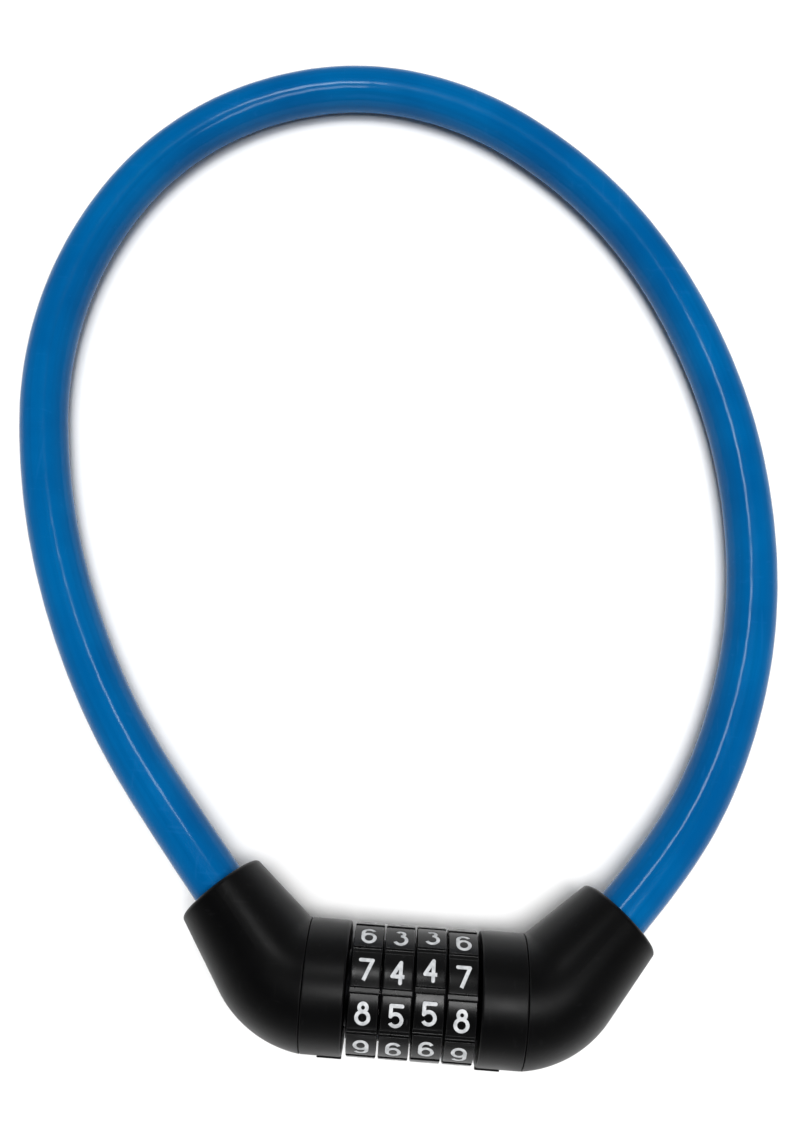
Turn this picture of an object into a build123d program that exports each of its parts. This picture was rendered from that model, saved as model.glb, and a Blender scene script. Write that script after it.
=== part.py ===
from build123d import *
from math import cos, degrees, radians, sin, sqrt, tan
import os

# Four-dial combination cable lock, closed and lying flat, in millimetres.
# +X runs along the dials towards the end that keeps them, +Y towards the cable loop, +Z up.
# The origin is on the supporting surface, under the middle of the lock body.

# Outside of the lock body
barrel_d = 27.3          # collars and the wide end of the elbows
seam_x = 23.3            # each elbow meets its collar this far from the middle
bend_angle = 47.5        # turn of each elbow, away from the dial axis
bend_end_d = 24.4        # elbow diameter where its bend ends
mouth_d = 20.0           # elbow diameter at the cable mouth
neck_length = 17.05      # straight tapered part between the bend and the mouth
inner_corner = 0.8       # radius inside the elbow's inner corner
mouth_round = 1.0        # rounding of the mouth's rim
roll = 7.6               # the elbows dip this much, to bring the cable down to the surface

# Dials and code rings
dial_count = 4
dial_inset = 0.25        # the dials stand this far below the collars
dial_width = 6.2
dial_gap = 0.5           # between neighbouring dials
dials_middle = -0.3      # the dials sit nearer to the bolt's collar
bolt_gap = 0.95          # between the first dial and the bolt's collar
spring_gap = 0.8         # between the last dial and the other collar
digit_count = 10
channel_width = 1.4      # grooves between the number pads
channel_depth = 0.7
channel_round = 0.35
pad_edge = 0.3           # rounding along the sides of the pads
ring_d = 17.0            # code ring, inside its dial
flange_d = 20.0          # code ring's flange, between the dials
web_width = 2.4          # the part of the code ring that stops a tooth
key_width = 1.8          # rib that turns the ring with its dial
key_height = 0.9
key_play = 1.4           # the keyway is this much wider than the key
gate_width = 2.8
gate_play = 0.3          # from a tooth's outer face to the gate's end
notch_d = 2.5            # click notches round the web's bore
notch_depth = 0.55
code_digits = (0, 7, 7, 0)      # digits at the code line, and the code that opens the lock
dial_lean = (0, 0, 4, 0)        # degrees that a dial sits off its digit, within the key's play

# Numerals, as round-ended strokes filled with paint
numeral_width = 2.5      # between stroke centres
numeral_height = 4.05
numeral_drop = 0.3       # from the middle of the pad towards the code line
stroke = 0.78
engraving_depth = 0.25
paint_depth = 0.05       # the paint's surface lies this far below the pad

# Core tube, locking bolt and the small parts on them
tube_d = 10.0
bolt_d = 7.0
slot_width = 2.4
tooth_width = 2.2
tooth_length = 2.0
tooth_rise = 0.9         # how far a tooth stands above the tube
tooth_setback = 0.4      # from a web to the tooth behind it
bolt_overreach = 1.15    # the bolt's tip lies this far past the dials
bolt_tip_chamfer = 1.2
bolt_room = 2.5          # from the bolt's tip to the blind end of its bore
nose_length = 1.9        # how far the core tube enters the bolt's knuckle
nose_chamfer = 0.4
washer_d = 15.4          # passes inside the bolt collar's recess
washer_thickness = 0.55
clip_rise = 1.9          # how far the circlip stands above the tube
clip_thickness = 0.55
clip_groove_depth = 0.5
clip_opening = 3.0
spring_thickness = 0.4   # disc spring
spring_d = 16.6
spring_play = 0.3        # between the disc spring and the tube, on the radius
strip_width = 1.4        # leaf spring that clicks into the code rings
strip_thickness = 0.3
strip_groove_depth = 0.75
bump_radius = 1.6
bump_rise = 0.35         # how far each click bump stands above the tube

# Collars, knuckles, pins and ferrules
collar_wall = 0.9        # end wall on the bolt side
spring_wall = 0.6        # end wall under the disc spring
collar_round = 0.5
seam_chamfer = 0.3
clip_recess_d = 16.0
spigot_inset = 1.85      # the spigot is this much smaller than the barrel, on the radius
spigot_length = 2.0
ridge_length = 5.2
ridge_width = 2.4
ridge_height = 0.3
ridge_round = 0.6
ridge_root = 1.0         # how deep the ridge's foot is sunk in its collar
spigot_wall = 1.8        # between the spigot's outside and the knuckle
knuckle_depth = 6.5      # how far a knuckle's barrel reaches into its elbow
boss_d = 15.0
boss_overrun = 2.0       # how far the boss goes past the dial axis
root_setback = 1.0       # from a seam back to the end of the bolt's or the tube's root
root_bore_margin = 0.1
pin_d = 2.0
pin_wall = 0.35
pin_setback = 1.5        # from the knuckle's outside to a pin's end

# Cable
cable_d = 12.0
core_d = 6.4
ferrule_d = 9.0
ferrule_length = 12.0
sheath_insert = 14.0     # how far the sheath goes into a mouth
exit_clearance = 0.2     # between the cable and its mouth, on the radius
arc_share = 0.45         # the part of a straight run that each arc beside it may take

# Clearances
fit = 0.05               # seated or turning round pieces, on the radius or the face
end_play = 0.1           # between neighbouring code rings
overrun = 1.0            # how far a cut runs past the face that it opens
same_place = 0.01        # two edges closer than this are the same edge

# Where the cable lies, from the mouth beside the dials' fixed end round to the bolt's mouth.
# The first and last points are the sheath's ends, inside the mouths.
cable_route = [
    (34.94, 2.3, 12.61),
    (53.86, 22.76, 9.87),
    (69, 50, 7.3),
    (77, 84, 6),
    (75, 120, 6),
    (66, 151, 6),
    (50, 181, 6),
    (29, 204, 6),
    (1, 222, 6),
    (-31, 228, 6),
    (-62, 219, 6),
    (-86, 199, 6),
    (-101, 170, 6),
    (-106, 138, 6),
    (-101, 106, 6),
    (-91, 77, 6),
    (-75, 48, 7.3),
    (-53.86, 22.76, 9.87),
    (-34.94, 2.3, 12.61),
]

# Sizes that follow from the ones above
barrel_r = barrel_d / 2
tube_r = tube_d / 2
bolt_r = bolt_d / 2
dial_r = barrel_r - dial_inset
spigot_d = barrel_d - 2 * spigot_inset
knuckle_d = spigot_d - 2 * spigot_wall
pin_length = knuckle_d - 2 * pin_setback
ring_r = ring_d / 2
tooth_reach = tube_r + tooth_rise
gate_r = tooth_reach + gate_play
clip_r = tube_r + clip_rise
bump_reach = tube_r + bump_rise
pitch = dial_width + dial_gap
flange_width = dial_gap - end_play
dials_start = dials_middle - (dial_count * pitch - dial_gap) / 2
dials_end = dials_start + dial_count * pitch - dial_gap
bolt_rim_x = dials_start - bolt_gap
spring_rim_x = dials_end + spring_gap
bolt_knuckle_x = bolt_rim_x - collar_wall
tube_knuckle_x = spring_rim_x + spring_wall + fit
nose_x = bolt_knuckle_x - nose_length
washer_x = dials_start - flange_width - fit - washer_thickness
clip_x = washer_x - fit - clip_thickness
root_x = seam_x - root_setback
bolt_tip_x = dials_end + bolt_overreach
bolt_bore_end = bolt_tip_x + bolt_room
bolt_pin_x = (nose_x - root_x) / 2
tube_pin_x = (bolt_bore_end + root_x) / 2
dial_starts = [dials_start + k * pitch for k in range(dial_count)]

corner_v = barrel_r + inner_corner
neck_start = inner_corner + bend_end_d / 2
bend = radians(bend_angle)
mouth_s = neck_start * sin(bend) + neck_length * cos(bend)
mouth_v = corner_v - neck_start * cos(bend) + neck_length * sin(bend)

# The body's depth along Y, which sets the origin under its middle
dip = radians(roll)
mouth_aim_y = sin(bend) * cos(dip)
front_reach = mouth_v * cos(dip) + mouth_d / 2 * sqrt(1 - mouth_aim_y**2)
back_reach = (barrel_r + ridge_height) * cos(dip)
axis_y = (back_reach - front_reach) / 2
axis_z = barrel_r

# Planes: elbow_plane holds the dial axis and both elbows; its Y points towards the loop.
elbow_plane = Plane(origin=(0, axis_y, axis_z), x_dir=(1, 0, 0), z_dir=(0, sin(dip), cos(dip)))
spin_axis = Axis((0, axis_y, axis_z), (1, 0, 0))
code_line = 180          # degrees round the axis, from the elbow plane's Y towards its Z
detent_line = 0
# Length of a knuckle's boss, from the sheath's end back past the dial axis
boss_length = mouth_v / sin(bend) - sheath_insert + boss_overrun

os.makedirs("parts", exist_ok=True)


def save(part, name):
    """Label a finished piece and write it as its own node."""
    part.label = name
    export_step(part, f"parts/{name}.step")


def cross_plane(x):
    """Plane square to the dial axis: its X points towards the loop, its Y up."""
    return Plane(origin=(x, axis_y, axis_z), x_dir=elbow_plane.y_dir, z_dir=(1, 0, 0))


def round_plane(x, angle):
    """Plane through the dial axis that faces outwards at an angle round it, with X along the axis."""
    out = elbow_plane.y_dir * cos(radians(angle)) + elbow_plane.z_dir * sin(radians(angle))
    return Plane(origin=(x, axis_y, axis_z), x_dir=(1, 0, 0), z_dir=out)


def elbow_section(side, s, v, angle):
    """Plane across an elbow: s is the distance past the seam, v towards the loop."""
    origin = elbow_plane.from_local_coords((side * (seam_x + s), v, 0))
    aim = elbow_plane.x_dir * (side * cos(radians(angle))) + elbow_plane.y_dir * sin(radians(angle))
    return Plane(origin=origin, x_dir=elbow_plane.z_dir, z_dir=aim)


def mouth_section(side, depth):
    """Plane across the cable's way, depth inside the mouth, facing out."""
    s = mouth_s - depth * cos(bend)
    v = mouth_v - depth * sin(bend)
    return elbow_section(side, s, v, bend_angle)


def outline(*points):
    """Closed outline of (x, radius) points, ready to turn about the dial axis."""
    with BuildSketch(elbow_plane) as sketch:
        with BuildLine():
            Polyline(*points, close=True)
        make_face()
    return sketch.sketch


def band(x0, x1, r0, r1):
    """Rectangular section of a plain ring, ready to turn about the dial axis."""
    return outline((x0, r0), (x1, r0), (x1, r1), (x0, r1))


# Elbow shells: moulded plastic over the knuckle, with a spigot that centres the collar
def elbow_shell(side):
    mouth = mouth_section(side, 0)
    rim = side * seam_x
    with BuildPart() as shell:
        steps = 3
        for k in range(steps + 1):
            angle = bend_angle * k / steps
            radius = (barrel_d + (bend_end_d - barrel_d) * k / steps) / 2
            reach = inner_corner + radius
            s, v = reach * sin(radians(angle)), corner_v - reach * cos(radians(angle))
            with BuildSketch(elbow_section(side, s, v, angle)):
                with BuildLine():
                    for quarter in range(4):
                        CenterArc((0, 0), radius, quarter * 90, 90)
                make_face()
        loft()
        with BuildSketch(mouth_section(side, neck_length)):
            Circle(bend_end_d / 2)
        with BuildSketch(mouth):
            Circle(mouth_d / 2)
        loft()
        fillet(shell.faces().sort_by(Axis(mouth.origin, mouth.z_dir))[-1].edges(), mouth_round)
        revolve(band(rim - side * spigot_length, rim, knuckle_d / 2 + fit, spigot_d / 2), spin_axis)
        pocket = rim + side * (knuckle_depth + fit)
        revolve(band(rim, pocket, 0, knuckle_d / 2 + fit), spin_axis, mode=Mode.SUBTRACT)
        with BuildSketch(mouth):
            Circle(cable_d / 2 + exit_clearance)
        extrude(amount=-sheath_insert - fit, mode=Mode.SUBTRACT)
        with BuildSketch(mouth_section(side, sheath_insert - fit)):
            Circle(boss_d / 2 + fit)
        extrude(amount=-boss_length - fit, mode=Mode.SUBTRACT)
    return shell.part


# Knuckles: cast zinc, one in each elbow, a barrel for the bolt or the tube and a boss for the ferrule
def knuckle(side, near_x, root_d, pin_x):
    with BuildPart() as casting:
        revolve(band(near_x, side * (seam_x + knuckle_depth), 0, knuckle_d / 2), spin_axis)
        with BuildSketch(mouth_section(side, sheath_insert + fit)):
            Circle(boss_d / 2)
        extrude(amount=-boss_length + 2 * fit)
        root_end = side * (root_x + root_bore_margin)
        revolve(band(near_x, root_end, 0, root_d / 2 + fit), spin_axis, mode=Mode.SUBTRACT)
        with BuildSketch(mouth_section(side, sheath_insert)):
            Circle(ferrule_d / 2 + fit)
        extrude(amount=-ferrule_length - 2 * fit, mode=Mode.SUBTRACT)
        with BuildSketch(elbow_plane):
            with Locations((pin_x, 0)):
                Circle(pin_d / 2 + fit)
        extrude(amount=knuckle_d, both=True, mode=Mode.SUBTRACT)
    return casting


bolt_casting = knuckle(-1, bolt_knuckle_x, bolt_d, bolt_pin_x)
with BuildPart() as bolt_knuckle:
    add(bolt_casting.part)
    nose_bore = band(bolt_knuckle_x, nose_x - end_play, 0, tube_r + 2 * fit)
    revolve(nose_bore, spin_axis, mode=Mode.SUBTRACT)


# Collars: plastic rings over the knuckles, each with a ridge that marks the code line
def collar(side, rim_x, wall, hole_d):
    seam = side * seam_x
    inward = side * wall
    bore_r = knuckle_d / 2 + fit
    step_x = seam - side * (spigot_length + fit)
    shape = outline(
        (rim_x, hole_d / 2),
        (rim_x, barrel_r),
        (seam - side * seam_chamfer, barrel_r),
        (seam, barrel_r - seam_chamfer),
        (seam, spigot_d / 2 + fit),
        (step_x, spigot_d / 2 + fit),
        (step_x, bore_r),
        (rim_x + inward, bore_r),
        (rim_x + inward, hole_d / 2),
    )
    ridge_plane = round_plane(rim_x + side * ridge_length / 2, code_line).offset(barrel_r - ridge_root)
    with BuildPart() as ring:
        revolve(shape, spin_axis)
        outer_rim = ring.edges().filter_by(GeomType.CIRCLE).filter_by(
            lambda edge: abs(edge.radius - barrel_r) + abs(edge.center().X - rim_x) < same_place
        )
        fillet(outer_rim, collar_round)
        with BuildSketch(ridge_plane):
            RectangleRounded(ridge_length, ridge_width, ridge_round)
        extrude(amount=ridge_root + ridge_height)
    return ring.part


# Core tube: the fixed spindle of the dials, slotted along the code line for the bolt's teeth
with BuildPart() as core_tube:
    revolve(band(nose_x, root_x, 0, tube_r), spin_axis)
    chamfer(core_tube.edges().filter_by(GeomType.CIRCLE), nose_chamfer)
    bore = band(nose_x, bolt_bore_end, 0, bolt_r + fit)
    revolve(bore, spin_axis, mode=Mode.SUBTRACT)
    groove_r = tube_r - clip_groove_depth
    clip_groove = band(clip_x - fit / 2, clip_x + clip_thickness + fit / 2, groove_r, tube_r + overrun)
    revolve(clip_groove, spin_axis, mode=Mode.SUBTRACT)
    slot_length = dials_end - nose_x
    with BuildSketch(round_plane(nose_x + slot_length / 2, code_line)):
        Rectangle(slot_length, slot_width)
    extrude(amount=tube_r + overrun, mode=Mode.SUBTRACT)
    strip_start, strip_end = washer_x, tube_knuckle_x + strip_width
    strip_seat = round_plane((strip_start + strip_end) / 2, detent_line).offset(tube_r - strip_groove_depth)
    with BuildSketch(strip_seat):
        Rectangle(strip_end - strip_start + 2 * fit, strip_width + 2 * fit)
    extrude(amount=strip_groove_depth + overrun, mode=Mode.SUBTRACT)
    with BuildSketch(elbow_plane):
        with Locations((tube_pin_x, 0)):
            Circle(pin_d / 2 + fit)
    extrude(amount=tube_d, both=True, mode=Mode.SUBTRACT)

# Leaf spring: a strip in the tube's back groove, with one bump for each code ring
with BuildPart() as detent_strip:
    base = tube_r - strip_groove_depth + fit
    web_middles = [start + (web_width - flange_width) / 2 for start in dial_starts]
    with BuildSketch(elbow_plane) as strip_side:
        with Locations(((strip_start + strip_end) / 2, base + strip_thickness / 2)):
            Rectangle(strip_end - strip_start, strip_thickness)
        with Locations([(x, bump_reach - bump_radius) for x in web_middles]):
            Circle(bump_radius)
        with Locations([(x, bump_reach - bump_radius) for x in web_middles]):
            Circle(bump_radius - strip_thickness, mode=Mode.SUBTRACT)
        with Locations((0, base / 2)):
            Rectangle(2 * seam_x, base, mode=Mode.SUBTRACT)
    extrude(amount=strip_width / 2, both=True)

# Washer, circlip and disc spring: they keep the dials together on the tube
with BuildPart() as end_washer:
    revolve(band(washer_x, washer_x + washer_thickness, tube_r + fit, washer_d / 2), spin_axis)
    with BuildSketch(round_plane(washer_x, code_line)):
        Rectangle(4 * washer_thickness, gate_width)
    extrude(amount=gate_r, mode=Mode.SUBTRACT)

with BuildPart() as circlip:
    revolve(band(clip_x, clip_x + clip_thickness, groove_r + fit, clip_r), spin_axis)
    with BuildSketch(round_plane(clip_x, code_line)):
        Rectangle(4 * clip_thickness, clip_opening)
    extrude(amount=2 * clip_r, mode=Mode.SUBTRACT)

with BuildPart() as disc_spring:
    inner_r, outer_r = tube_r + spring_play, spring_d / 2
    left, right = dials_end + fit / 2, spring_rim_x - fit / 2
    spring_section = outline(
        (left, outer_r),
        (left + spring_thickness, outer_r),
        (right, inner_r),
        (right - spring_thickness, inner_r),
    )
    revolve(spring_section, spin_axis)

# Locking bolt: a rod with one tooth behind each code ring's web
with BuildPart() as locking_bolt:
    revolve(band(-root_x, bolt_tip_x, 0, bolt_r), spin_axis)
    chamfer(locking_bolt.edges().filter_by(GeomType.CIRCLE).sort_by(Axis.X)[-1], bolt_tip_chamfer)
    for start in dial_starts:
        tooth_x = start + web_width - flange_width + tooth_setback + tooth_length / 2
        with BuildSketch(round_plane(tooth_x, code_line)):
            Rectangle(tooth_length, tooth_width)
        extrude(amount=tooth_reach)
    with BuildSketch(elbow_plane):
        with Locations((bolt_pin_x, 0)):
            Circle(pin_d / 2 + fit)
    extrude(amount=bolt_d, both=True, mode=Mode.SUBTRACT)


# Roll pins: rolled spring steel, slit along one side, one through each knuckle
def roll_pin(x):
    with BuildPart() as pin:
        with BuildSketch(elbow_plane.offset(-pin_length / 2)):
            with Locations((x, 0)):
                Circle(pin_d / 2)
                Circle(pin_d / 2 - pin_wall, mode=Mode.SUBTRACT)
            with Locations((x + pin_d / 2, 0)):
                Rectangle(pin_d, pin_wall, mode=Mode.SUBTRACT)
        extrude(amount=pin_length)
    return pin.part


# Ferrules: steel sleeves crimped on the cable's core
def ferrule(side):
    with BuildPart() as sleeve:
        with BuildSketch(mouth_section(side, sheath_insert + fit)):
            Circle(ferrule_d / 2)
            Circle(core_d / 2 + fit, mode=Mode.SUBTRACT)
        extrude(amount=-ferrule_length)
    return sleeve.part


# Code rings: cast zinc discs on the tube, each with a flange, a web with one gate, and click notches
def code_ring(start):
    web_end = start - flange_width + web_width
    bore_r = tube_r + 2 * fit
    shape = outline(
        (start - flange_width, bore_r),
        (start - flange_width, flange_d / 2),
        (start - fit, flange_d / 2),
        (start - fit, ring_r),
        (start + dial_width, ring_r),
        (start + dial_width, gate_r),
        (web_end, gate_r),
        (web_end, bore_r),
    )
    with BuildPart() as ring:
        revolve(shape, spin_axis)
        with BuildSketch(round_plane(start, code_line)):
            Rectangle(4 * web_width, gate_width)
        extrude(amount=gate_r, mode=Mode.SUBTRACT)
        with BuildSketch(cross_plane(start - flange_width)):
            with PolarLocations(bore_r + notch_depth - notch_d / 2, digit_count, start_angle=detent_line):
                Circle(notch_d / 2)
        extrude(amount=web_width, mode=Mode.SUBTRACT)
        with BuildSketch(round_plane(start + dial_width / 2, 90).offset(ring_r - key_height - 3 * fit)):
            Rectangle(dial_width + 2 * fit, key_width + key_play)
        extrude(amount=ring_r, mode=Mode.SUBTRACT)
    return ring.part


# Numerals: even strokes with round joints, about the middle of a pad
half_w, half_h = numeral_width / 2, numeral_height / 2
small_bowl = half_h - half_w
low_middle, high_middle = (0, -small_bowl), (0, half_h - small_bowl)
stem_x = 0.35 * half_w
bar_y = -0.4 * half_h


def numeral(digit):
    """Face of one digit. A nine is a six turned half round."""
    loops = {0: [], 6: [(low_middle, half_w)], 8: [(low_middle, half_w), (high_middle, small_bowl)]}
    lines = {
        1: [((stem_x, -half_h), (stem_x, half_h)), ((stem_x, half_h), (-half_w / 2, half_h / 2))],
        2: [((-half_w, -half_h), (half_w, -half_h))],
        4: [((stem_x, -half_h), (stem_x, half_h)), ((stem_x, half_h), (-half_w, bar_y)),
            ((-half_w, bar_y), (half_w, bar_y))],
        5: [((half_w, half_h), (-0.8 * half_w, half_h))],
        7: [((-half_w, half_h), (half_w, half_h)), ((half_w, half_h), (-half_w / 3, -half_h))],
    }
    shape = 6 if digit == 9 else digit
    with BuildSketch() as face:
        if shape == 0:
            SlotOverall(numeral_height + stroke, numeral_width + stroke, rotation=90)
            SlotOverall(numeral_height - stroke, numeral_width - stroke, rotation=90, mode=Mode.SUBTRACT)
        for middle, radius in loops.get(shape, []):
            with Locations(middle):
                Circle(radius + stroke / 2)
        for middle, radius in loops.get(shape, []):
            with Locations(middle):
                Circle(radius - stroke / 2, mode=Mode.SUBTRACT)
        for start, end in lines.get(shape, []):
            with BuildLine():
                Line(start, end)
            trace(line_width=stroke)
            with Locations(start):
                Circle(stroke / 2)
        if shape == 2:
            with BuildLine():
                hook = CenterArc((0, half_h - half_w), half_w, 170, -205)
                Line(hook @ 1, (-half_w, -half_h))
            trace(line_width=stroke)
        if shape == 3:
            with BuildLine():
                CenterArc(high_middle, small_bowl, 155, -245)
            trace(line_width=stroke)
            with BuildLine():
                CenterArc(low_middle, half_w, 90, -245)
            trace(line_width=stroke)
        if shape == 5:
            with BuildLine():
                bowl = CenterArc(low_middle, half_w, 145, -295)
            trace(line_width=stroke)
            with BuildLine():
                Line((-0.8 * half_w, half_h), bowl @ 0)
            trace(line_width=stroke)
            with Locations((-0.8 * half_w, half_h), bowl @ 0):
                Circle(stroke / 2)
        if shape == 6:
            with BuildLine():
                hook = CenterArc((0, half_h - half_w), half_w, 30, 150)
                Line(hook @ 1, (-half_w, -small_bowl))
            trace(line_width=stroke)
    return face.sketch.rotate(Axis.Z, 180) if digit == 9 else face.sketch


numerals = [numeral(digit) for digit in range(digit_count)]


def numeral_prisms(start, code_digit, lean):
    """All of a dial's digits, standing through its rim. They count down from the code line over the top."""
    drop = degrees(numeral_drop / dial_r)
    with BuildPart() as prisms:
        for step in range(digit_count):
            angle = code_line - step * 360 / digit_count - lean + drop
            with BuildSketch(round_plane(start + dial_width / 2, angle).offset(dial_r - 4 * engraving_depth)):
                add(numerals[(code_digit - step) % digit_count])
            extrude(amount=8 * engraving_depth)
    return prisms.part


def inlay(prisms, start, low, high):
    """The part of the numerals between two radii."""
    with BuildPart() as layer:
        add(prisms)
        revolve(band(start, start + dial_width, low, high), spin_axis, mode=Mode.INTERSECT)
    return layer.part


# Dials: plastic rings with ten number pads, a channel between the pads and a key for the code ring
def number_dial(start, engraving, lean):
    with BuildPart() as dial:
        revolve(band(start, start + dial_width, ring_r + fit, dial_r), spin_axis)
        circles = dial.edges().filter_by(GeomType.CIRCLE)
        fillet(circles.filter_by(lambda edge: edge.radius > dial_r - same_place), pad_edge)
        with BuildSketch(cross_plane(start)):
            with PolarLocations(dial_r, digit_count, start_angle=code_line + 180 / digit_count - lean):
                RectangleRounded(2 * channel_depth, channel_width, channel_round)
        extrude(amount=dial_width, mode=Mode.SUBTRACT)
        with BuildSketch(round_plane(start + dial_width / 2, 90 - lean).offset(ring_r - key_height)):
            Rectangle(dial_width, key_width)
        extrude(amount=2 * key_height)
        add(engraving, mode=Mode.SUBTRACT)
    return dial.part


# Cable: a steel rope in a plastic sheath, swept along straight runs joined by tangent arcs
route_runs = [Vector(*end) - Vector(*start) for start, end in zip(cable_route, cable_route[1:])]
arc_radii = []
for before, after in zip(route_runs, route_runs[1:]):
    half_turn = radians(before.get_angle(after)) / 2
    arc_radii.append(arc_share * min(before.length, after.length) / tan(half_turn))


def cable_layer(points, outer_d, inner_d):
    """One layer of the cable, as a tube or a plain rod. Each arc is as large as its two runs allow."""
    with BuildLine() as route:
        FilletPolyline(*points, radius=arc_radii)
    path = route.wire()
    with BuildPart() as layer:
        with BuildSketch(Plane(origin=path @ 0, z_dir=path % 0)):
            Circle(outer_d / 2)
            if inner_d:
                Circle(inner_d / 2, mode=Mode.SUBTRACT)
        sweep(path=path)
    return layer.part, path.length


def core_end(end, neighbour):
    """The core runs on past the sheath's end, through its ferrule."""
    inward = Vector(*end) - Vector(*neighbour)
    return tuple(Vector(*end) + inward.normalized() * ferrule_length)


core_route = list(cable_route)
core_route[0] = core_end(cable_route[0], cable_route[1])
core_route[-1] = core_end(cable_route[-1], cable_route[-2])
cable_sheath, sheath_length = cable_layer(cable_route, cable_d, core_d + 2 * fit)
cable_core, core_length = cable_layer(core_route, core_d, 0)
print("cable arc radii", [round(radius, 1) for radius in arc_radii])
print("sheath length", round(sheath_length, 1), "core length", round(core_length, 1))

# Hand-over: one file for each piece
save(elbow_shell(1), "body_elbow_shell")
save(elbow_shell(-1), "bolt_elbow_shell")
save(collar(1, spring_rim_x, spring_wall, tube_d + 4 * fit), "body_collar")
save(collar(-1, bolt_rim_x, collar_wall, clip_recess_d), "bolt_collar")
save(knuckle(1, tube_knuckle_x, tube_d, tube_pin_x).part, "body_knuckle")
save(bolt_knuckle.part, "bolt_knuckle")
save(core_tube.part, "core_tube")
save(detent_strip.part, "detent_strip")
save(end_washer.part, "end_washer")
save(circlip.part, "circlip")
save(disc_spring.part, "disc_spring")
save(locking_bolt.part, "locking_bolt")
save(roll_pin(bolt_pin_x), "bolt_pin")
save(roll_pin(tube_pin_x), "core_tube_pin")
save(ferrule(1), "body_ferrule")
save(ferrule(-1), "bolt_ferrule")
save(cable_sheath, "cable_sheath")
save(cable_core, "cable_core")
for number, (start, code_digit, lean) in enumerate(zip(dial_starts, code_digits, dial_lean), 1):
    prisms = numeral_prisms(start, code_digit, lean)
    engraving = inlay(prisms, start, dial_r - engraving_depth, dial_r + engraving_depth)
    paint = inlay(prisms, start, dial_r - engraving_depth, dial_r - paint_depth)
    save(code_ring(start), f"code_ring_{number}")
    save(number_dial(start, engraving, lean), f"number_dial_{number}")
    save(paint, f"dial_numerals_{number}")
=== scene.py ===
import math

import bpy
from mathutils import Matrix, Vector


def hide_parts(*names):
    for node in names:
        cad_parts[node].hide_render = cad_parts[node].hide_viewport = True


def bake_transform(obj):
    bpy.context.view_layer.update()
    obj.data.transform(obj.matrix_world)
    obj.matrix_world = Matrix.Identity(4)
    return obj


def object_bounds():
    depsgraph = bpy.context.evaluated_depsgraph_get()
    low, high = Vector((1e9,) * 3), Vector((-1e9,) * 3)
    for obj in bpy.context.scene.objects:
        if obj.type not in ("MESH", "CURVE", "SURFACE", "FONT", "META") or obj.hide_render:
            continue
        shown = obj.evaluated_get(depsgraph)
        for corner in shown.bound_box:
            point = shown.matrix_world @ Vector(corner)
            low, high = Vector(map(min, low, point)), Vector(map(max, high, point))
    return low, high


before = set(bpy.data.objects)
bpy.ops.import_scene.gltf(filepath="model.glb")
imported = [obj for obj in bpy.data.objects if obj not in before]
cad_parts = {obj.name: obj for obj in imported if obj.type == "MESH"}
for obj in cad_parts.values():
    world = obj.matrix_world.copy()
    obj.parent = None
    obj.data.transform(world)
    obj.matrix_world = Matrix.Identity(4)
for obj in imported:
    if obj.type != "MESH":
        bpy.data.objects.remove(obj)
cad_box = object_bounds()

# ---- Cable sheath ----
# The outside of the cable is a tube of soft blue PVC, extruded over the wire rope in one length and
# drawn through water while it is hot, which leaves it glossy. Its two ends are pushed into the elbows.
SHEATH_DIAMETER = 0.012
ROPE_DIAMETER = 0.0064
BORE_CLEARANCE = 0.00005
STRANDS = 6
STRAND_LAY = 0.052
STRAND_IMPRINT = 0.00002
cable_route = [
    (0.03494, 0.0023, 0.01261),
    (0.05386, 0.02276, 0.00987),
    (0.069, 0.050, 0.0073),
    (0.077, 0.084, 0.006),
    (0.075, 0.120, 0.006),
    (0.066, 0.151, 0.006),
    (0.050, 0.181, 0.006),
    (0.029, 0.204, 0.006),
    (0.001, 0.222, 0.006),
    (-0.031, 0.228, 0.006),
    (-0.062, 0.219, 0.006),
    (-0.086, 0.199, 0.006),
    (-0.101, 0.170, 0.006),
    (-0.106, 0.138, 0.006),
    (-0.101, 0.106, 0.006),
    (-0.091, 0.077, 0.006),
    (-0.075, 0.048, 0.0073),
    (-0.05386, 0.02276, 0.00987),
    (-0.03494, 0.0023, 0.01261),
]


def smooth_line(route, steps):
    """The smooth line that a cable takes along its route, as closely spaced points."""
    curve = bpy.data.curves.new("route", "CURVE")
    curve.dimensions = "3D"
    curve.resolution_u = steps
    spline = curve.splines.new("NURBS")
    spline.points.add(len(route) - 1)
    for point, place in zip(spline.points, route):
        point.co = (*place, 1)
    spline.order_u = 3
    spline.use_endpoint_u = True
    holder = bpy.data.objects.new("route", curve)
    bpy.context.scene.collection.objects.link(holder)
    mesh = bpy.data.meshes.new_from_object(holder)
    line = [vertex.co.copy() for vertex in mesh.vertices]
    bpy.data.meshes.remove(mesh)
    bpy.data.objects.remove(holder)
    bpy.data.curves.remove(curve)
    return line


def stations(line):
    """Each point of a line with two directions across it, which never twist, and its distance along."""
    aim = (line[1] - line[0]).normalized()
    across = aim.cross(Vector((0, 0, 1))).normalized()
    found, distance = [], 0.0
    for k, place in enumerate(line):
        ahead = (line[min(k + 1, len(line) - 1)] - line[max(k - 1, 0)]).normalized()
        across = (across - ahead * across.dot(ahead)).normalized()
        distance += (place - line[max(k - 1, 0)]).length
        found.append((place, across, ahead.cross(across), distance))
    return found


def add_piece(name, points, faces):
    """A new object from a mesh's points and faces, in the scene."""
    mesh = bpy.data.meshes.new(name)
    mesh.from_pydata(points, [], faces)
    mesh.polygons.foreach_set("use_smooth", [True] * len(faces))
    mesh.validate()
    mesh.update()
    piece = bpy.data.objects.new(name, mesh)
    bpy.context.scene.collection.objects.link(piece)
    return piece


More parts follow.
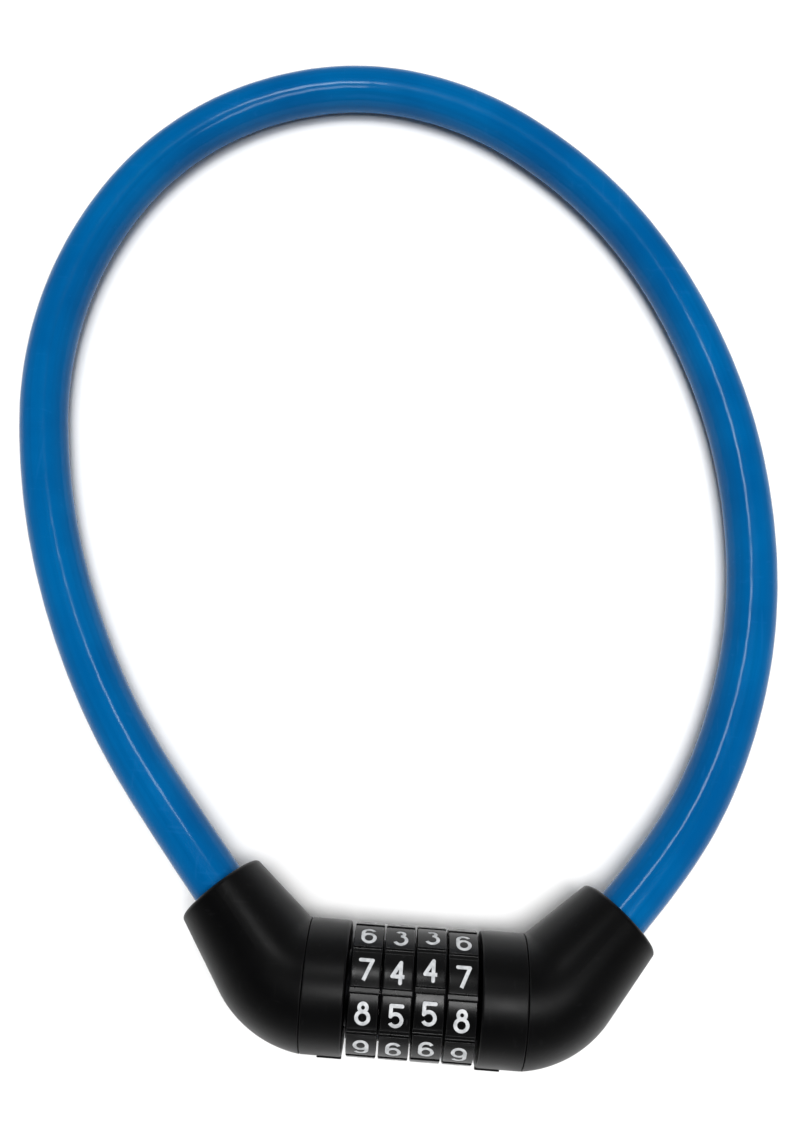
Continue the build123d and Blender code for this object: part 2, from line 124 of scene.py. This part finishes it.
def ring_strip(first, second, sides):
    """Faces that join two rings of points, given the number of each ring's first point."""
    for k in range(sides):
        after = (k + 1) % sides
        yield (first + k, first + after, second + after, second + k)


def sheath_radius(angle, distance):
    """Outside of the sheath: the rope's strands show through it as a faint spiral."""
    strand = STRANDS * (angle - math.tau * distance / STRAND_LAY)
    return SHEATH_DIAMETER / 2 - STRAND_IMPRINT * (1 - math.cos(strand)) / 2


def make_sheath(line, sides):
    """The sheath's outside and its bore, joined at both ends."""
    points, faces = [], []
    rings = stations(line)
    for place, across, over, distance in rings:
        for k in range(sides):
            angle = math.tau * k / sides
            aim = across * math.cos(angle) + over * math.sin(angle)
            points.append(place + aim * sheath_radius(angle, distance))
            points.append(place + aim * (ROPE_DIAMETER / 2 + BORE_CLEARANCE))
    outer, inner = [], []
    for ring in range(len(rings)):
        start = ring * sides * 2
        outer.append([start + 2 * k for k in range(sides)])
        inner.append([start + 2 * k + 1 for k in range(sides)])
    for ring in range(len(rings) - 1):
        for k in range(sides):
            after = (k + 1) % sides
            near, far = outer[ring], outer[ring + 1]
            faces.append((near[k], near[after], far[after], far[k]))
            near, far = inner[ring], inner[ring + 1]
            faces.append((near[k], far[k], far[after], near[after]))
    for k in range(sides):
        after = (k + 1) % sides
        faces.append((outer[0][k], inner[0][k], inner[0][after], outer[0][after]))
        faces.append((outer[-1][k], outer[-1][after], inner[-1][after], inner[-1][k]))
    piece = add_piece("sheath", points, faces)
    along = piece.data.uv_layers.new(name="along")
    distances = [distance for _, _, _, distance in rings]
    for face in piece.data.polygons:
        columns = [piece.data.loops[corner].vertex_index % (sides * 2) // 2 for corner in face.loop_indices]
        wraps = max(columns) - min(columns) > 1
        for corner, column in zip(face.loop_indices, columns):
            ring = piece.data.loops[corner].vertex_index // (sides * 2)
            turn = column + sides if wraps and column == 0 else column
            along.data[corner].uv = (distances[ring], turn / sides * math.pi * SHEATH_DIAMETER)
    return piece


def new_material(name):
    """An empty material with its output, and the Principled shader that feeds it."""
    material = bpy.data.materials.new(name)
    material.use_nodes = True
    tree = material.node_tree
    tree.nodes.clear()
    output = tree.nodes.new("ShaderNodeOutputMaterial")
    shader = tree.nodes.new("ShaderNodeBsdfPrincipled")
    tree.links.new(shader.outputs["BSDF"], output.inputs["Surface"])
    return material, tree, shader


def add_node(tree, kind, inputs=None, **settings):
    """A node of one kind. Each input is a plain value, or another node's output that feeds it."""
    made = tree.nodes.new("ShaderNode" + kind)
    for name, value in settings.items():
        setattr(made, name, value)
    for name, value in (inputs or {}).items():
        if isinstance(value, bpy.types.NodeSocket):
            tree.links.new(value, made.inputs[name])
        else:
            made.inputs[name].default_value = value
    return made


def blend_colours(tree, share, first, second):
    """A colour between two others: the first where the share is 0, the second where it is 1."""
    mix = add_node(tree, "Mix", data_type="RGBA")
    for socket, value in ((mix.inputs["Factor"], share), (mix.inputs[6], first), (mix.inputs[7], second)):
        if isinstance(value, bpy.types.NodeSocket):
            tree.links.new(value, socket)
        else:
            socket.default_value = value
    return mix.outputs[2]


def rescale(tree, value, low, high, to_low=0.0, to_high=1.0):
    """A value stretched from one range to another, and kept inside it."""
    inputs = {"Value": value, "From Min": low, "From Max": high, "To Min": to_low, "To Max": to_high}
    return add_node(tree, "MapRange", inputs).outputs["Result"]


def start_group(name, inputs, outputs):
    """A node group with named sockets: (name, kind, value) for inputs and (name, kind) for outputs."""
    group = bpy.data.node_groups.new(name, "ShaderNodeTree")
    for label, kind, value in inputs:
        socket = group.interface.new_socket(label, in_out="INPUT", socket_type="NodeSocket" + kind)
        socket.default_value = value
    for label, kind in outputs:
        group.interface.new_socket(label, in_out="OUTPUT", socket_type="NodeSocket" + kind)
    enter = group.nodes.new("NodeGroupInput")
    leave = group.nodes.new("NodeGroupOutput")
    return group, enter, leave


def handling_marks_group():
    """Fine scratches and the dull patches that fingers leave, as masks from 0 to 1."""
    group, enter, leave = start_group(
        "handling marks",
        [("Place", "Vector", (0, 0, 0)), ("Scratch Size", "Float", 900.0), ("Smudge Size", "Float", 60.0)],
        [("Scratches", "Float"), ("Smudges", "Float")],
    )
    stretched = []
    for turn, squeeze in (((0.3, 0.2, 0.5), (0.05, 1, 1)), ((1.1, -0.4, 1.9), (1, 0.04, 1))):
        turned = add_node(
            group, "Mapping", {"Vector": enter.outputs["Place"], "Rotation": turn, "Scale": squeeze})
        noise = add_node(group, "TexNoise", {
            "Vector": turned.outputs["Vector"],
            "Scale": enter.outputs["Scratch Size"],
            "Detail": 1.0,
        })
        stretched.append(rescale(group, noise.outputs["Fac"], 0.69, 0.74))
    both = add_node(group, "Math", {0: stretched[0], 1: stretched[1]}, operation="MAXIMUM")
    patches = add_node(group, "TexNoise", {
        "Vector": enter.outputs["Place"],
        "Scale": enter.outputs["Smudge Size"],
        "Detail": 4.0,
        "Roughness": 0.6,
    })
    few = rescale(group, patches.outputs["Fac"], 0.4, 0.7)
    group.links.new(both.outputs["Value"], leave.inputs["Scratches"])
    group.links.new(few, leave.inputs["Smudges"])
    return group


def use_group(tree, group, inputs):
    """A group's node in a material, with that material's own values."""
    return add_node(tree, "Group", inputs, node_tree=group)


handling_marks = handling_marks_group()


def glossy_blue_pvc():
    """Blue PVC with extrusion streaks along it, a slightly uneven skin and a few scuffs."""
    material, tree, shader = new_material("glossy blue pvc")
    along = add_node(tree, "UVMap", uv_map="along").outputs["UV"]
    place = add_node(tree, "TexCoord").outputs["Object"]
    drawn = add_node(tree, "Mapping", {"Vector": along, "Scale": (12, 900, 1)}).outputs["Vector"]
    streaks = add_node(tree, "TexNoise", {"Vector": drawn, "Scale": 1.0, "Detail": 3.0}).outputs["Fac"]
    cloud = add_node(tree, "TexNoise", {"Vector": place, "Scale": 45.0, "Detail": 3.0}).outputs["Fac"]
    marks = use_group(tree, handling_marks, {"Place": place, "Scratch Size": 700.0, "Smudge Size": 50.0})
    deep, light = (0.0, 0.085, 0.23, 1), (0.0, 0.106, 0.27, 1)
    blue = blend_colours(tree, rescale(tree, cloud, 0.35, 0.65), deep, light)
    streaked = blend_colours(tree, rescale(tree, streaks, 0.45, 0.75, 0, 0.35), blue, (0.0, 0.07, 0.185, 1))
    scuffed = add_node(tree, "Math", {0: marks.outputs["Scratches"], 1: 0.1}, operation="MULTIPLY")
    worn = blend_colours(tree, scuffed.outputs["Value"], streaked, (0.03, 0.15, 0.36, 1))
    tree.links.new(worn, shader.inputs["Base Color"])
    tree.links.new(rescale(tree, marks.outputs["Smudges"], 0, 1, 0.16, 0.26), shader.inputs["Roughness"])
    skin = add_node(tree, "TexNoise", {"Vector": along, "Scale": 260.0, "Detail": 2.0}).outputs["Fac"]
    bump = add_node(tree, "Bump", {"Height": skin, "Strength": 1.0, "Distance": 0.000012})
    tree.links.new(bump.outputs["Normal"], shader.inputs["Normal"])
    shader.inputs["Specular IOR Level"].default_value = 0.12
    shader.inputs["Coat Weight"].default_value = 0.15
    shader.inputs["Coat IOR"].default_value = 1.4
    shader.inputs["Coat Roughness"].default_value = 0.05
    return material


cable_line = smooth_line(cable_route, steps=24)
sheath = make_sheath(cable_line, sides=48)
sheath.data.materials.append(glossy_blue_pvc())
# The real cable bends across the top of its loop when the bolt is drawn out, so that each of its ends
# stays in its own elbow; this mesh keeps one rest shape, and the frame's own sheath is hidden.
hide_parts("cable_sheath")
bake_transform(sheath)

# ---- Wire rope ----
# The cable's core is a rope of galvanised steel: six strands laid round a seventh, each twisted
# from fine wires. It runs on past the sheath, through a ferrule that is crimped on it in each elbow.
FERRULE_LENGTH = 0.012
WIRES = 6
WIRE_TURNS = 60  # in a metre of strand
WIRE_GROOVE = 0.87  # the reach of the grooves between wires, as a share of the strand's radius


def add_strand(points, faces, path, radius, twist):
    """One strand as a tube with the ridges of its wires, closed at both ends."""
    sides = 2 * WIRES
    start = len(points)
    rings = stations(path)
    for place, across, over, distance in rings:
        for k in range(sides):
            angle = math.tau * (k / sides + twist * distance)
            reach = radius * (1.0 if k % 2 == 0 else WIRE_GROOVE)
            points.append(place + (across * math.cos(angle) + over * math.sin(angle)) * reach)
    for ring in range(len(rings) - 1):
        faces.extend(ring_strip(start + ring * sides, start + (ring + 1) * sides, sides))
    last = start + (len(rings) - 1) * sides
    faces.append(tuple(start + k for k in reversed(range(sides))))
    faces.append(tuple(last + k for k in range(sides)))


def make_rope(line):
    """Seven strands along the cable's line, which runs on straight into both ferrules."""
    first = line[0] + (line[0] - line[1]).normalized() * FERRULE_LENGTH
    last = line[-1] + (line[-1] - line[-2]).normalized() * FERRULE_LENGTH
    middle = stations([first, *line, last])
    strand_radius = ROPE_DIAMETER / 6
    points, faces = [], []
    add_strand(points, faces, [place for place, _, _, _ in middle], strand_radius, WIRE_TURNS)
    for k in range(STRANDS):
        path = []
        for place, across, over, distance in middle:
            angle = math.tau * (k / STRANDS + distance / STRAND_LAY)
            path.append(place + (across * math.cos(angle) + over * math.sin(angle)) * strand_radius * 2)
        add_strand(points, faces, path, strand_radius, -WIRE_TURNS)
    return add_piece("wire_rope", points, faces)


def galvanised_wire():
    """Dull zinc on steel wire, darker where the strands' grease has caught dust."""
    material, tree, shader = new_material("galvanised wire")
    place = add_node(tree, "TexCoord").outputs["Object"]
    spangle = add_node(tree, "TexNoise", {"Vector": place, "Scale": 1500.0, "Detail": 2.0}).outputs["Fac"]
    grease = add_node(tree, "TexNoise", {"Vector": place, "Scale": 180.0, "Detail": 3.0}).outputs["Fac"]
    zinc = blend_colours(tree, spangle, (0.36, 0.37, 0.39, 1), (0.56, 0.57, 0.58, 1))
    greased = blend_colours(tree, rescale(tree, grease, 0.5, 0.75, 0, 0.7), zinc, (0.1, 0.09, 0.08, 1))
    tree.links.new(greased, shader.inputs["Base Color"])
    tree.links.new(rescale(tree, spangle, 0.3, 0.7, 0.3, 0.5), shader.inputs["Roughness"])
    shader.inputs["Metallic"].default_value = 1.0
    return material


rope = make_rope(cable_line)
rope.data.materials.append(galvanised_wire())
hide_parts("cable_core")
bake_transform(rope)

# ---- Elbow shells and collars ----
# The outside of the lock body is black plastic, moulded with a fine matt texture. Each elbow is one
# shell over a zinc knuckle, and its collar is pushed onto the shell's spigot, which leaves a hairline.


def worn_edges_group():
    """The edges of a piece, as a mask from 0 to 1, and a normal that rounds them slightly."""
    group, enter, leave = start_group(
        "worn edges",
        [("Width", "Float", 0.0003), ("Amount", "Float", 1.0)],
        [("Edges", "Float"), ("Rounded", "Vector")],
    )
    rounded = add_node(group, "Bevel", {"Radius": enter.outputs["Width"]}, samples=6)
    flat = add_node(group, "NewGeometry")
    normals = {0: rounded.outputs["Normal"], 1: flat.outputs["Normal"]}
    likeness = add_node(group, "VectorMath", normals, operation="DOT_PRODUCT")
    edge = rescale(group, likeness.outputs["Value"], 0.99, 0.85)
    scaled = add_node(group, "Math", {0: edge, 1: enter.outputs["Amount"]}, operation="MULTIPLY")
    group.links.new(scaled.outputs["Value"], leave.inputs["Edges"])
    group.links.new(rounded.outputs["Normal"], leave.inputs["Rounded"])
    return group


worn_edges = worn_edges_group()


def black_plastic(name, colour, worn_colour, gloss, grain_size, grain_depth, edge_width, shine=0.3):
    """Moulded black plastic: textured skin, edges polished by handling, and faint scratches."""
    material, tree, shader = new_material(name)
    place = add_node(tree, "TexCoord").outputs["Object"]
    marks = use_group(tree, handling_marks, {"Place": place, "Scratch Size": 1100.0, "Smudge Size": 75.0})
    edges = use_group(tree, worn_edges, {"Width": edge_width, "Amount": 1.0})
    grain = add_node(tree, "TexNoise", {"Vector": place, "Scale": grain_size, "Detail": 3.0}).outputs["Fac"]
    rubbed = add_node(tree, "Math", {0: edges.outputs["Edges"], 1: grain}, operation="MULTIPLY")
    scratched = add_node(tree, "Math", {0: marks.outputs["Scratches"], 1: 0.15}, operation="MULTIPLY")
    shown = add_node(
        tree, "Math", {0: rubbed.outputs["Value"], 1: scratched.outputs["Value"]}, operation="MAXIMUM")
    worn = blend_colours(tree, shown.outputs["Value"], colour, worn_colour)
    tree.links.new(worn, shader.inputs["Base Color"])
    handled = rescale(tree, marks.outputs["Smudges"], 0, 1, gloss, gloss + 0.09)
    tree.links.new(handled, shader.inputs["Roughness"])
    bump = add_node(tree, "Bump", {
        "Height": grain, "Strength": 1.0, "Distance": grain_depth, "Normal": edges.outputs["Rounded"]})
    tree.links.new(bump.outputs["Normal"], shader.inputs["Normal"])
    shader.inputs["Specular IOR Level"].default_value = shine
    return material


def finish_node(name, material):
    """Gives a node of the frame this one material, in place of any it had."""
    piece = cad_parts[name]
    piece.data.materials.clear()
    piece.data.materials.append(material)


shell_black = black_plastic(
    "satin black shell", (0.0022, 0.0022, 0.0024, 1), (0.02, 0.02, 0.021, 1), 0.36, 2600.0, 0.000006, 0.0004)
for shell in ("body_elbow_shell", "bolt_elbow_shell", "body_collar", "bolt_collar"):
    finish_node(shell, shell_black)

# ---- Number dials ----
# Four rings of black plastic with ten pads each, moulded smoother than the shells so that they
# turn freely. A rib inside each dial drives the code ring that it sits on.
dial_black = black_plastic(
    "smooth black dial", (0.003, 0.003, 0.0032, 1), (0.06, 0.06, 0.062, 1), 0.24, 1900.0, 0.000004, 0.0002,
    shine=0.5)
dial_numbers = range(1, sum(name.startswith("number_dial_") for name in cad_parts) + 1)
for number in dial_numbers:
    finish_node(f"number_dial_{number}", dial_black)

# ---- Numerals ----
# The digits are engraved in the pads and filled with white enamel, wiped level while it was wet, so
# the paint sits a little below the pad and is thin in places.


def wiped_white_enamel():
    """White enamel with an uneven skin, thin grey places and a few pinholes."""
    material, tree, shader = new_material("wiped white enamel")
    place = add_node(tree, "TexCoord").outputs["Object"]
    thin = add_node(tree, "TexNoise", {"Vector": place, "Scale": 900.0, "Detail": 3.0}).outputs["Fac"]
    holes = add_node(tree, "TexNoise", {"Vector": place, "Scale": 3200.0, "Detail": 1.0}).outputs["Fac"]
    white = blend_colours(tree, rescale(tree, thin, 0.35, 0.7), (0.52, 0.53, 0.54, 1), (0.34, 0.35, 0.36, 1))
    pitted = blend_colours(tree, rescale(tree, holes, 0.72, 0.78, 0, 0.8), white, (0.06, 0.06, 0.06, 1))
    tree.links.new(pitted, shader.inputs["Base Color"])
    tree.links.new(rescale(tree, thin, 0.3, 0.7, 0.4, 0.6), shader.inputs["Roughness"])
    bump = add_node(tree, "Bump", {"Height": thin, "Strength": 1.0, "Distance": 0.00002})
    tree.links.new(bump.outputs["Normal"], shader.inputs["Normal"])
    return material


enamel = wiped_white_enamel()
for number in dial_numbers:
    finish_node(f"dial_numerals_{number}", enamel)

# ---- Code rings and knuckles ----
# Both are cast in zinc alloy. A code ring is passivated black and lets the bolt's tooth through at one
# digit only; a knuckle is left bright and holds the bolt or the core tube and the cable's ferrule.


def cast_zinc(name, dark, pale, worn_colour):
    """Zinc alloy as it comes from the die or its bath: faintly mottled and slightly grainy."""
    material, tree, shader = new_material(name)
    place = add_node(tree, "TexCoord").outputs["Object"]
    edges = use_group(tree, worn_edges, {"Width": 0.00015, "Amount": 0.8})
    mottle = add_node(tree, "TexNoise", {"Vector": place, "Scale": 320.0, "Detail": 4.0}).outputs["Fac"]
    skin = add_node(tree, "TexNoise", {"Vector": place, "Scale": 2400.0, "Detail": 2.0}).outputs["Fac"]
    grey = blend_colours(tree, rescale(tree, mottle, 0.3, 0.7), dark, pale)
    bright = blend_colours(tree, edges.outputs["Edges"], grey, worn_colour)
    tree.links.new(bright, shader.inputs["Base Color"])
    tree.links.new(rescale(tree, mottle, 0.3, 0.7, 0.38, 0.55), shader.inputs["Roughness"])
    bump = add_node(tree, "Bump", {
        "Height": skin, "Strength": 1.0, "Distance": 0.00001, "Normal": edges.outputs["Rounded"]})
    tree.links.new(bump.outputs["Normal"], shader.inputs["Normal"])
    shader.inputs["Metallic"].default_value = 1.0
    return material


bright_zinc = cast_zinc("cast zinc", (0.3, 0.31, 0.33, 1), (0.42, 0.43, 0.45, 1), (0.62, 0.63, 0.64, 1))
for knuckle in ("body_knuckle", "bolt_knuckle"):
    finish_node(knuckle, bright_zinc)
black_zinc = cast_zinc(
    "black zinc", (0.008, 0.008, 0.009, 1), (0.016, 0.016, 0.018, 1), (0.06, 0.06, 0.06, 1))
for number in dial_numbers:
    finish_node(f"code_ring_{number}", black_zinc)

# ---- Core tube, bolt and ferrules ----
# These are turned from steel bar and nickel plated. The tube is the dials' spindle and takes the bolt
# inside it; the ferrules are pressed onto the rope's ends.


def turned_steel(name, plating, groove, worn_colour, gloss):
    """Plated or blackened steel, with the fine rings that a lathe tool leaves round the dial axis."""
    material, tree, shader = new_material(name)
    place = add_node(tree, "TexCoord").outputs["Object"]
    edges = use_group(tree, worn_edges, {"Width": 0.00015, "Amount": 0.7})
    marks = use_group(tree, handling_marks, {"Place": place, "Scratch Size": 1500.0, "Smudge Size": 120.0})
    fed = add_node(tree, "Mapping", {"Vector": place, "Scale": (9000, 150, 150)}).outputs["Vector"]
    rings = add_node(tree, "TexNoise", {"Vector": fed, "Scale": 1.0, "Detail": 1.0}).outputs["Fac"]
    metal = blend_colours(tree, rescale(tree, rings, 0.3, 0.7), groove, plating)
    worn = blend_colours(tree, edges.outputs["Edges"], metal, worn_colour)
    tree.links.new(worn, shader.inputs["Base Color"])
    handled = rescale(tree, marks.outputs["Smudges"], 0, 1, gloss, gloss + 0.12)
    tree.links.new(handled, shader.inputs["Roughness"])
    bump = add_node(tree, "Bump", {
        "Height": rings, "Strength": 1.0, "Distance": 0.000004, "Normal": edges.outputs["Rounded"]})
    tree.links.new(bump.outputs["Normal"], shader.inputs["Normal"])
    shader.inputs["Metallic"].default_value = 1.0
    return material


nickel = turned_steel(
    "nickel plated steel", (0.66, 0.64, 0.61, 1), (0.5, 0.49, 0.47, 1), (0.8, 0.79, 0.77, 1), 0.22)
for name in ("core_tube", "locking_bolt", "body_ferrule", "bolt_ferrule"):
    finish_node(name, nickel)

# ---- Springs, washer, circlip and roll pins ----
# These small steel parts are blackened and oiled. The disc spring pushes the dials against the washer
# and its circlip, the leaf spring clicks into the code rings, and a roll pin holds each knuckle.
black_steel = turned_steel(
    "black steel", (0.022, 0.022, 0.024, 1), (0.012, 0.012, 0.014, 1), (0.1, 0.1, 0.1, 1), 0.35)
for name in ("detent_strip", "end_washer", "circlip", "disc_spring", "bolt_pin", "core_tube_pin"):
    finish_node(name, black_steel)

# ---- Table and studio ----
# The lock lies on a pale table in a bright tent. A small lamp near the camera draws a thin line of
# light along the cable, and a wider one gives the black body its sheen.
floor = add_piece("table", [(-2, -2, 0), (2, -2, 0), (2, 2, 0), (-2, 2, 0)], [(0, 1, 2, 3)])
pale, pale_tree, pale_shader = new_material("pale table")
place = add_node(pale_tree, "TexCoord").outputs["Object"]
shade = add_node(pale_tree, "TexNoise", {"Vector": place, "Scale": 8.0, "Detail": 2.0}).outputs["Fac"]
paint = blend_colours(pale_tree, shade, (0.76, 0.76, 0.76, 1), (0.78, 0.78, 0.78, 1))
pale_tree.links.new(paint, pale_shader.inputs["Base Color"])
pale_shader.inputs["Roughness"].default_value = 0.7
floor.data.materials.append(pale)


def add_lamp(name, kind, place, power, mirrored, **settings):
    """A lamp of one kind that faces down. One that isn't mirrored only fills, and draws no highlight."""
    lamp = bpy.data.lights.new(name, kind)
    lamp.energy = power
    for setting, value in settings.items():
        setattr(lamp, setting, value)
    holder = bpy.data.objects.new(name, lamp)
    holder.location = place
    holder.visible_glossy = mirrored
    bpy.context.scene.collection.objects.link(holder)
    return holder


loop_middle = Vector(((cad_box[0].x + cad_box[1].x) / 2, (cad_box[0].y + cad_box[1].y) / 2, 0))
add_lamp("line_lamp", "AREA", (-0.03, 0.2, 0.31), 0.11, True, size=0.045)
add_lamp("sheen_lamp", "AREA", (0.09, -0.01, 0.5), 0.8, True, shape="RECTANGLE", size=0.3, size_y=0.1)
add_lamp("soft_sky", "SUN", (0, 0.1, 1.2), 2.75, False, angle=math.radians(41))
sides = (("left_fill", -0.8, 0.1), ("right_fill", 0.8, 0.1), ("back_fill", 0, 0.95), ("front_fill", 0, -0.75))
for name, x, y in sides:
    fill = add_lamp(name, "AREA", (x, y, 0.35), 0.35, False, size=0.7)
    fill.rotation_euler = (loop_middle - fill.location).to_track_quat("-Z", "Y").to_euler()

world = bpy.data.worlds.new("tent")
world.use_nodes = True
walls = world.node_tree
tent = walls.nodes["Background"]
tent.inputs["Color"].default_value = (1, 1, 1, 1)
direction = add_node(walls, "TexCoord").outputs["Generated"]
height = add_node(walls, "SeparateXYZ", {"Vector": direction}).outputs["Z"]
walls.links.new(rescale(walls, height, 0.0, 0.8, 0.4, 0.015), tent.inputs["Strength"])
bpy.context.scene.world = world
bpy.context.scene.view_settings.view_transform = "Standard"
bpy.context.scene.view_settings.look = "Medium High Contrast"

camera = bpy.data.cameras.new("camera")
camera.lens = 31.94
camera.sensor_width = 36
camera.clip_start = 0.01
eye = bpy.data.objects.new("camera", camera)
eye.location = (-0.0052, 0.0321, 0.245)
eye.rotation_euler = (math.radians(13.9), 0, math.radians(4.19))
bpy.context.scene.collection.objects.link(eye)
bpy.context.scene.camera = eye
